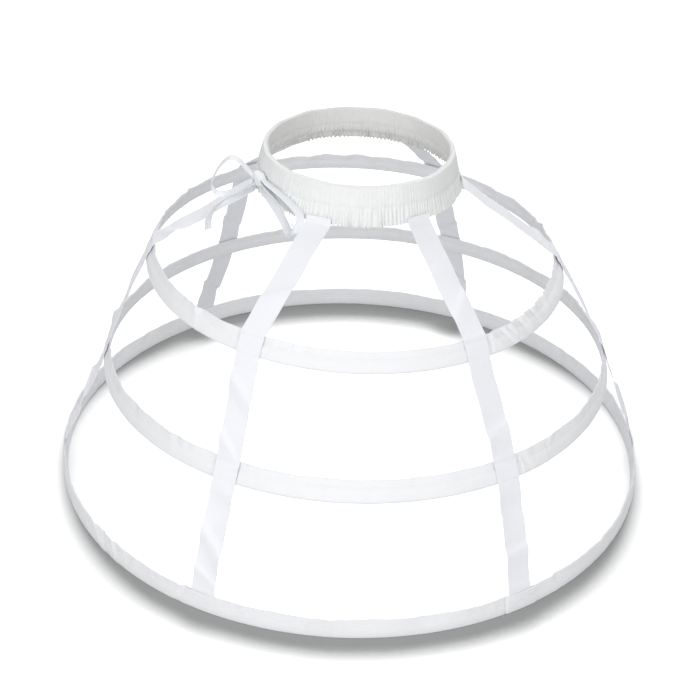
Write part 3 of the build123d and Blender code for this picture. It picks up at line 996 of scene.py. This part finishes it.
# Drawstring: a narrow ribbon in the waistband's channel. Its two ends come out of a buttonhole
# and are tied in a bow, with a loop and a tail on each side of the knot. The ribbon is pinched
# into pleats at the knot, and has its full width a little way out.
string_width, string_thickness = 0.008, 0.0004
string_columns = 9
pinched_share, pinch_reach, pinch_power = 0.5, 0.012, 0.7
pleat_depth, pleat_turns, pleat_reach = 0.0007, 3, 0.007
curl_depth, curl_turns = 0.0005, 50
string_cloth = cloth_material(
    "narrow_white_ribbon", light=(0.87, 0.885, 0.905, 1), dark=(0.80, 0.815, 0.84, 1),
    warp=1800.0, weft=1500.0, weave_depth=0.00005,
    crease_depth=0.0003, crease_size=220.0, rough=0.55,
)
dress_node("waist_drawstring", string_cloth)

knot_low, knot_high = (Vector(corner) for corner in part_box("bow_knot"))
knot_centre = (knot_low + knot_high) / 2
knot_turn = waist_ring.to_3x3() @ Matrix.Rotation(radians(-160.0), 3, "Z")
knot_frame = Matrix.Translation(knot_centre) @ knot_turn.to_4x4()

# name: route in millimetres from the knot (x outwards, y along the band, z up), the far end,
# and the directions that the ribbon's width takes at its start and its end
bow_ribbons = {
    "bow_loop_left": ([
        (5.3, -2.3, 2.4), (10.7, -7.1, 9.2), (17.2, -11.4, 17.7), (24.8, -16.8, 18.1),
        (30.5, -21.2, 10.0), (35.7, -25.5, -1.5), (38.7, -30.0, -14.0), (34.5, -30.9, -23.9),
        (25.4, -26.5, -26.0), (14.8, -14.0, -14.5), (5.3, -2.8, -1.6),
    ], "object", ((0.55, 0.85, -0.2), (0.22, 0.9, -0.42))),
    "bow_tail_left": ([
        (5.3, 2.4, -2.6), (12.0, -3.5, -10.5), (19.6, -11.2, -18.7), (27.5, -18.0, -26.2),
        (35.0, -22.5, -33.8), (40.8, -24.2, -42.4), (43.4, -24.7, -51.5), (42.6, -25.0, -59.4),
    ], "bare", ((0.45, 0.7, 0.2), (0.72, 0.12, 0.1))),
    "bow_loop_right": ([
        (-0.9, 7.1, 3.0), (-0.8, 18.7, 3.2), (-3.8, 31.0, 2.9), (-9.0, 44.6, -0.6),
        (-14.7, 55.5, -6.7), (-18.0, 62.5, -12.7), (-14.5, 67.5, -19.5), (-8.0, 70.5, -27.0),
        (-7.6, 62.5, -31.5), (-8.0, 53.5, -28.0), (-6.1, 44.6, -20.7), (-2.8, 33.0, -12.6),
        (0.0, 19.9, -6.5), (-0.5, 7.1, -3.4),
    ], "object", ((0.9, 0.2, 0.2), (0.9, -0.12, -0.4))),
    "bow_tail_right": ([
        (2.2, 7.1, -0.4), (2.5, 19.1, -1.5), (1.3, 33.3, -1.7), (-2.9, 47.0, -6.3),
        (-7.1, 56.3, -13.9), (-10.5, 63.2, -22.4),
    ], "bare", ((0.3, 0.1, 0.9), (0.5, 0.1, 0.8))),
}


def smooth_route(points):
    """The points that a smooth spline through this route's control points passes."""
    curve = bpy.data.curves.new("route", "CURVE")
    curve.dimensions = "3D"
    spline = curve.splines.new("NURBS")
    spline.points.add(len(points) - 1)
    for control, point in zip(spline.points, points):
        control.co = (*point, 1.0)
    spline.order_u = 3
    spline.use_endpoint_u = True
    curve.resolution_u = 16
    holder = bpy.data.objects.new("route", curve)
    mesh = bpy.data.meshes.new_from_object(holder)
    path = [vertex.co.copy() for vertex in mesh.vertices]
    bpy.data.objects.remove(holder)
    bpy.data.curves.remove(curve)
    bpy.data.meshes.remove(mesh)
    return path


for name, (route, far_end, facings) in bow_ribbons.items():
    path = np.array(smooth_route([knot_frame @ (Vector(point) / 1000) for point in route]))
    runs = run_lengths(path)
    length = float(runs[-1])
    ahead = unit(np.gradient(path, axis=0))
    first_facing, last_facing = (np.array(knot_turn @ Vector(facing)) for facing in facings)
    wide = first_facing + (last_facing - first_facing) * (runs / length)[:, None]
    wide = squared_to(ahead, wide)
    face = np.cross(ahead, wide)

    from_knot = np.minimum(runs, length - runs) if far_end == "object" else runs
    opening = np.clip(from_knot / pinch_reach, 0, 1) ** pinch_power
    spread = pinched_share + (1 - pinched_share) * opening
    across = np.linspace(-1, 1, string_columns)
    curl = curl_depth * across**2 * np.sin(curl_turns * runs)[:, None]
    pleats = pleat_depth * np.sin(pleat_turns * pi * across)
    lift = curl + pleats * np.exp(-from_knot / pleat_reach)[:, None]
    half_width = spread[:, None] * across * string_width / 2
    strip = path[:, None] + wide[:, None] * half_width[:, :, None]
    ribbon, _ = ribbon_object(
        f"{name}_ribbon", strip, face, lift, string_thickness / 2, runs, string_width
    )
    ribbon.data.materials.append(string_cloth)
    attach(ribbon, "root")
    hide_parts(name)


# Knot: the drawstring's ribbon, wrapped tightly over its own crossing. It is a plump block whose
# turns slant over it, and the loops and tails come out of its two sides.
knot_rows, knot_columns = 40, 36
knot_half = (0.0052, 0.0096, 0.0060)
knot_cloth_along, knot_cloth_round = 0.014, 0.03
plumpness = 0.72
wrap_depth, wrap_count, wrap_slant = 0.07, 9, 2.0

turn = np.linspace(0, 2 * pi, knot_columns, endpoint=False)
rise = np.linspace(-pi / 2, pi / 2, knot_rows)
ball_x = np.cos(rise)[:, None] * np.cos(turn)
ball_z = np.cos(rise)[:, None] * np.sin(turn)
ball_y = np.repeat(np.sin(rise)[:, None], knot_columns, axis=1)
shaped = [np.sign(part) * np.abs(part) ** plumpness for part in (ball_x, ball_y, ball_z)]
wraps = np.sin(wrap_count * ball_y + wrap_slant * ball_z) * np.cos(rise)[:, None]
swollen = 1 + wrap_depth * wraps
knot_points = np.stack([half * part * swollen for half, part in zip(knot_half, shaped)], axis=-1)
knot_points = knot_points @ np.array(knot_turn).T + np.array(knot_centre)
knot = grid_object(
    "bow_knot_wraps", knot_points, np.linspace(0, knot_cloth_along, knot_rows + 1),
    np.linspace(0, knot_cloth_round, knot_columns + 1), False, True,
)
knot.data.materials.append(string_cloth)
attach(knot, "root")
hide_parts("bow_knot")
